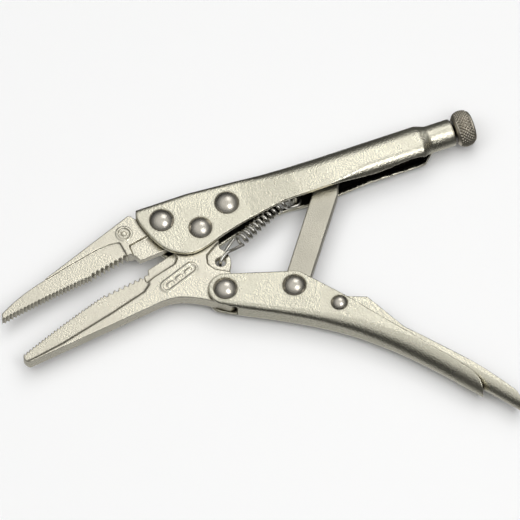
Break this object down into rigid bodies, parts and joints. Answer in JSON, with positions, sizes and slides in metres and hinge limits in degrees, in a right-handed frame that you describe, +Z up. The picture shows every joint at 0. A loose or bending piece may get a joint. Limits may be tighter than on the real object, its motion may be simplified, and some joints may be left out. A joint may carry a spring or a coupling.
{
  "type": "locking pliers",
  "caption": "Long-nose locking pliers with toothed jaws and wire cutter, an over-centre toggle link, an adjusting screw with knurled knob, a return spring and a release lever.",
  "frame": {"origin": "middle of the flat end of the jaw pivot rivet, on the plane the tool lies on", "axes": "+X along the adjusting screw towards its knob, +Y in the plane of the jaws away from the moving handle, +Z up from the lying plane"},
  "size_m": [0.2243, 0.1478, 0.017],
  "materials": {
    "handle_sheet": "satin nickel plate on pressed steel sheet",
    "forged_jaw": "satin nickel plate on forged steel",
    "rivet_steel": "polished nickel plate",
    "link_steel": "satin nickel plate on flat bar",
    "screw_steel": "oiled thread",
    "knob_steel": "coarse diamond knurl, dull nickel plate",
    "spring_wire": "bright drawn wire"
  },
  "bodies": {
    "frame": {"fixed_handle": "handle_sheet", "upper_jaw": "forged_jaw", "front_jaw_rivet": "rivet_steel", "rear_jaw_rivet": "rivet_steel", "jaw_pivot_rivet": "rivet_steel", "return_spring": "spring_wire"},
    "moving_jaw": {"lower_jaw": "forged_jaw"},
    "moving_handle": {"lower_handle": "handle_sheet", "handle_pivot_rivet": "rivet_steel", "link_rivet": "rivet_steel", "release_rivet": "rivet_steel"},
    "toggle": {"toggle_link": "link_steel"},
    "lever": {"release_lever": "handle_sheet"},
    "screw": {"adjusting_screw": "screw_steel"},
    "knob": {"adjusting_knob": "knob_steel"}
  },
  "joints": [
    {"name": "jaw_swing", "type": "hinge", "parent": "frame", "child": "moving_jaw", "pos_m": [0, 0, 0.0084], "axis": [0, 0, 1], "range_deg": [-11.01, 0], "deforming": ["return_spring"]},
    {"name": "handle_swing", "type": "hinge", "parent": "moving_jaw", "child": "moving_handle", "pos_m": [-0.0003, -0.0317, 0.0084], "axis": [0, 0, 1], "range_deg": [0, 54.19]},
    {"name": "link_swing", "type": "hinge", "parent": "moving_handle", "child": "toggle", "pos_m": [0.0282, -0.0407, 0.0084], "axis": [0, 0, 1], "range_deg": [-71, 0]},
    {"name": "release_swing", "type": "hinge", "parent": "moving_handle", "child": "lever", "pos_m": [0.0433, -0.0559, 0.0084], "axis": [0, 0, 1], "range_deg": [0, 4]},
    {"name": "screw_advance", "type": "slide", "parent": "frame", "child": "screw", "axis": [1, 0, 0], "range_m": [0, 0.024]},
    {"name": "knob_turn", "type": "hinge", "parent": "screw", "child": "knob", "pos_m": [0.12, 0.0083, 0.0084], "axis": [1, 0, 0], "range_deg": [0, 6913]}
  ],
  "couplings": [
    {"joint": "jaw_swing", "follows": "handle_swing", "ratio": -0.203},
    {"joint": "link_swing", "follows": "handle_swing", "ratio": -1.3097},
    {"joint": "knob_turn", "follows": "screw_advance", "rad_per_m": 5026.5}
  ]
}
